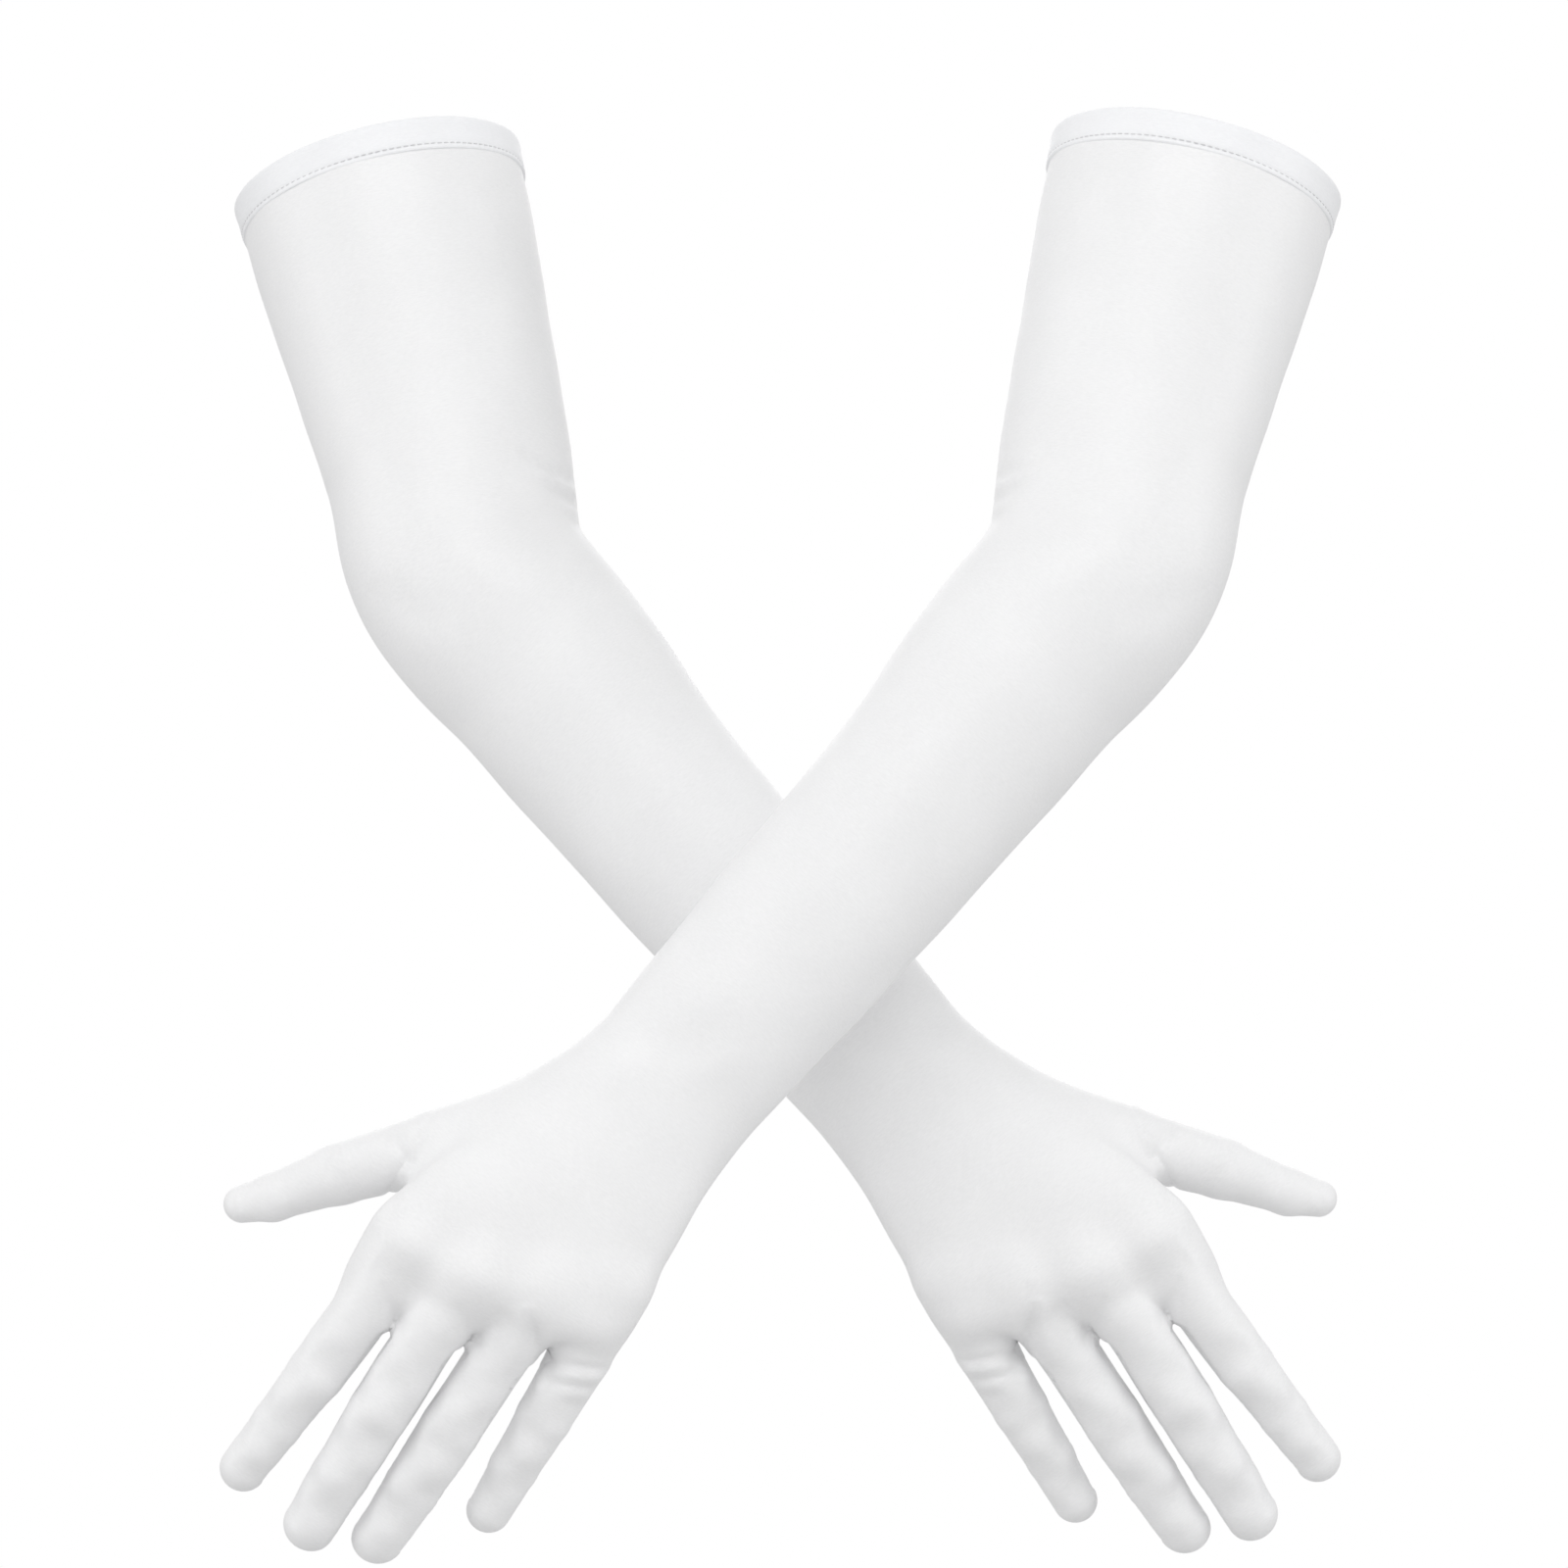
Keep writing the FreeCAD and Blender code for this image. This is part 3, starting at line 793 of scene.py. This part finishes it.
def fabric(name, colour, dark, grain, roughness, sheen):
    """Satin or thread: fine threads across the cloth, soft patches, and a slight gloss."""
    material = bpy.data.materials.new(name)
    material.use_nodes = True
    nodes, links = material.node_tree.nodes, material.node_tree.links
    shader = nodes["Principled BSDF"]
    shader.inputs["Sheen Weight"].default_value = sheen
    shader.inputs["Sheen Roughness"].default_value = 0.4
    shader.inputs["Specular IOR Level"].default_value = 0.4
    place = nodes.new("ShaderNodeAttribute")
    place.attribute_name = "cloth"
    across = nodes.new("ShaderNodeMapping")
    across.inputs["Scale"].default_value = (grain * 0.25, grain * 0.25, grain)
    links.new(place.outputs["Vector"], across.inputs["Vector"])
    threads = noise(nodes, links, across.outputs["Vector"], scale=1.0, detail=3.0, roughness=0.65)
    patches = noise(nodes, links, place.outputs["Vector"], scale=38.0, detail=2.0)
    both = nodes.new("ShaderNodeMix")
    both.data_type = "FLOAT"
    both.inputs["Factor"].default_value = 0.35
    links.new(threads, both.inputs["A"])
    links.new(patches, both.inputs["B"])
    tint = nodes.new("ShaderNodeValToRGB")
    tint.color_ramp.elements[0].position = 0.3
    tint.color_ramp.elements[0].color = (*dark, 1)
    tint.color_ramp.elements[1].position = 0.7
    tint.color_ramp.elements[1].color = (*colour, 1)
    links.new(both.outputs["Result"], tint.inputs["Fac"])
    links.new(tint.outputs["Color"], shader.inputs["Base Color"])
    gloss = nodes.new("ShaderNodeMapRange")
    gloss.inputs["To Min"].default_value = roughness + 0.08
    gloss.inputs["To Max"].default_value = roughness - 0.08
    links.new(both.outputs["Result"], gloss.inputs["Value"])
    links.new(gloss.outputs["Result"], shader.inputs["Roughness"])
    bump = nodes.new("ShaderNodeBump")
    bump.inputs["Strength"].default_value = 0.35
    bump.inputs["Distance"].default_value = 0.00012
    links.new(threads, bump.inputs["Height"])
    links.new(bump.outputs["Normal"], shader.inputs["Normal"])
    return material


looks = {
    "satin": fabric("satin", (0.88, 0.88, 0.885), (0.81, 0.81, 0.815), 2400.0, 0.42, 0.15),
    "hem_satin": fabric("hem_satin", (0.89, 0.895, 0.91), (0.83, 0.835, 0.85), 2400.0, 0.4, 0.15),
    # the thread's grey colours are painted shade: the stitches look darker only from the shade in and round
    # their holes
    "thread": fabric("thread", (0.72, 0.72, 0.73), (0.62, 0.62, 0.63), 6000.0, 0.5, 0.05),
}


# ---- building both gloves ----


def plain_mesh(name, places, cloth, faces):
    """A closed mesh, with each vertex's place on the cloth."""
    mesh = bpy.data.meshes.new(name)
    mesh.from_pydata((places * MM).tolist(), [], faces)
    mesh.polygons.foreach_set("use_smooth", [True] * len(mesh.polygons))
    grain = mesh.attributes.new("cloth", "FLOAT_VECTOR", "POINT")
    grain.data.foreach_set("vector", cloth.astype(np.float32).ravel())
    bm = bmesh.new()
    bm.from_mesh(mesh)
    bmesh.ops.recalc_face_normals(bm, faces=bm.faces)
    bm.to_mesh(mesh)
    bm.free()
    return mesh


def to_left(places):
    """Places on the left glove: the right one's mirror image, in front of it."""
    mirrored = places * point(-1, 1, 1)
    return mirrored + (LEFT_RIM - RIM * point(-1, 1, 1))


def sided(side, places):
    """Places of the right glove, moved to the glove of the side."""
    return places if side == "right" else to_left(places)


def place_object(name, mesh, material):
    """An object of the scene with one material."""
    obj = bpy.data.objects.new(name, mesh)
    bpy.context.scene.collection.objects.link(obj)
    mesh.materials.append(material)
    return obj


def bend_piece(obj, piece):
    """Bakes a piece of cloth's transform into its mesh; the piece follows no joint."""
    if piece == "sleeve":
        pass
    elif piece == "hand":
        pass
    elif piece == "thumb":
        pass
    else:
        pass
    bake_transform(obj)


def cad_nodes(side, piece):
    """CAD nodes that a piece of cloth stands for."""
    if piece == "sleeve":
        return [f"{side}_sleeve", f"{side}_elbow_fold"]
    if piece == "hand":
        return [f"{side}_forearm", f"{side}_wrist_fold", f"{side}_hand"]
    if piece == "thumb":
        return [f"{side}_thumb", f"{side}_thumb_fold"]
    if piece.endswith("_finger"):
        return [f"{side}_{piece}", f"{side}_{piece[:-7]}_fold"]
    return [f"{side}_{piece}"]


def place_cloth(side, piece, places, normals, cloth, faces):
    """One sewn piece of cloth of one glove."""
    if side == "left":
        places = to_left(places)
        normals = normals * point(-1, 1, 1)
        faces = [face[::-1] for face in faces]
    name = f"{side}_{piece}_cloth"
    obj = place_object(name, piece_mesh(name, places, normals, cloth, faces), looks["satin"])
    bend_piece(obj, piece)
    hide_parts(*cad_nodes(side, piece))


def place_hem(side, places, cloth, faces):
    """The turned-over hem of one glove."""
    mesh = plain_mesh(f"{side}_hem_cloth", sided(side, places), cloth, faces)
    obj = place_object(mesh.name, mesh, looks["hem_satin"])
    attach(obj, f"{side}_upper")
    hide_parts(f"{side}_hem_band")


def place_stitches(side, places, cloth, faces):
    """The row of stitches along the hem of one glove."""
    mesh = plain_mesh(f"{side}_hem_stitches", sided(side, places), cloth, faces)
    # the stitches' grey material is painted shade of the stitch holes
    obj = place_object(mesh.name, mesh, looks["thread"])
    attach(obj, f"{side}_upper")
    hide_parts(f"{side}_hem_stitching")


cut_cloth = finished_skin(arm_skin(), [0]) + finished_skin(hand_skin(), range(1, len(PIECES)))
hem = hem_parts()
stitches = stitch_parts()
for side in ("right", "left"):
    for sewn in cut_cloth:
        place_cloth(side, *sewn)
    place_hem(side, *hem)
    place_stitches(side, *stitches)


# ---- floor, light and camera ----


MIDDLE = (0.127, -0.1, -0.19)
FLOOR_ALBEDO = 0.64


def area_light(name, place, size, power):
    """A round soft light that faces the middle of the gloves."""
    data = bpy.data.lights.new(name, "AREA")
    data.shape = "DISK"
    data.size = size
    data.energy = power
    lamp = bpy.data.objects.new(name, data)
    lamp.location = place
    lamp.rotation_euler = (Vector(MIDDLE) - Vector(place)).to_track_quat("-Z", "Y").to_euler()
    bpy.context.scene.collection.objects.link(lamp)


def pale_floor(height, radius):
    """A round, pale floor below the gloves."""
    turn = 2 * np.pi * np.arange(96) / 96
    rim = [(radius * np.cos(a) + 0.127, radius * np.sin(a) - 0.08, height) for a in turn]
    mesh = bpy.data.meshes.new("floor")
    mesh.from_pydata(rim, [], [tuple(range(len(rim)))])
    material = bpy.data.materials.new("pale_floor")
    material.use_nodes = True
    shader = material.node_tree.nodes["Principled BSDF"]
    shader.inputs["Base Color"].default_value = (FLOOR_ALBEDO, FLOOR_ALBEDO, FLOOR_ALBEDO, 1)
    shader.inputs["Roughness"].default_value = 0.8
    place_object("floor", mesh, material)


pale_floor(-0.75, 3.0)
area_light("key", (0.127, -2.4, 1.9), size=3.0, power=29.0)
area_light("front_fill", (0.127, -3.6, -0.1), size=3.0, power=10.0)
area_light("back_fill", (0.127, 2.8, 1.2), size=3.0, power=20.0)
area_light("right_side_fill", (-4.4, -1.2, -0.1), size=2.4, power=32.0)
area_light("left_side_fill", (4.65, -1.2, -0.1), size=2.4, power=32.0)


def white_room(above, below):
    """A world that is plain white behind the gloves, and lights them more from above than below."""
    world = bpy.data.worlds.new("white_room")
    world.use_nodes = True
    nodes, links = world.node_tree.nodes, world.node_tree.links
    background = nodes["Background"]
    background.inputs["Color"].default_value = (1, 1, 1, 1)
    direction = nodes.new("ShaderNodeTexCoord")
    parts = nodes.new("ShaderNodeSeparateXYZ")
    links.new(direction.outputs["Generated"], parts.inputs["Vector"])
    light = nodes.new("ShaderNodeMapRange")
    light.inputs["From Min"].default_value = -0.5
    light.inputs["From Max"].default_value = 0.1
    light.inputs["To Min"].default_value = below
    light.inputs["To Max"].default_value = above
    links.new(parts.outputs["Z"], light.inputs["Value"])
    seen = nodes.new("ShaderNodeLightPath")
    strength = nodes.new("ShaderNodeMix")
    strength.data_type = "FLOAT"
    strength.inputs["B"].default_value = 1.0
    links.new(seen.outputs["Is Camera Ray"], strength.inputs["Factor"])
    links.new(light.outputs["Result"], strength.inputs["A"])
    links.new(strength.outputs["Result"], background.inputs["Strength"])
    return world


scene = bpy.context.scene
scene.world = white_room(0.73, 0.43)
scene.view_settings.view_transform = "Standard"

# a long lens, straight in front of the crossed arms
camera_data = bpy.data.cameras.new("camera")
camera_data.lens = 397.5
camera_data.sensor_width = 36
camera_data.clip_end = 30
camera = bpy.data.objects.new("camera", camera_data)
camera.location = (0.1269, -5.4, -0.189)
camera.rotation_euler = (np.pi / 2, 0, 0)
scene.collection.objects.link(camera)
scene.camera = camera
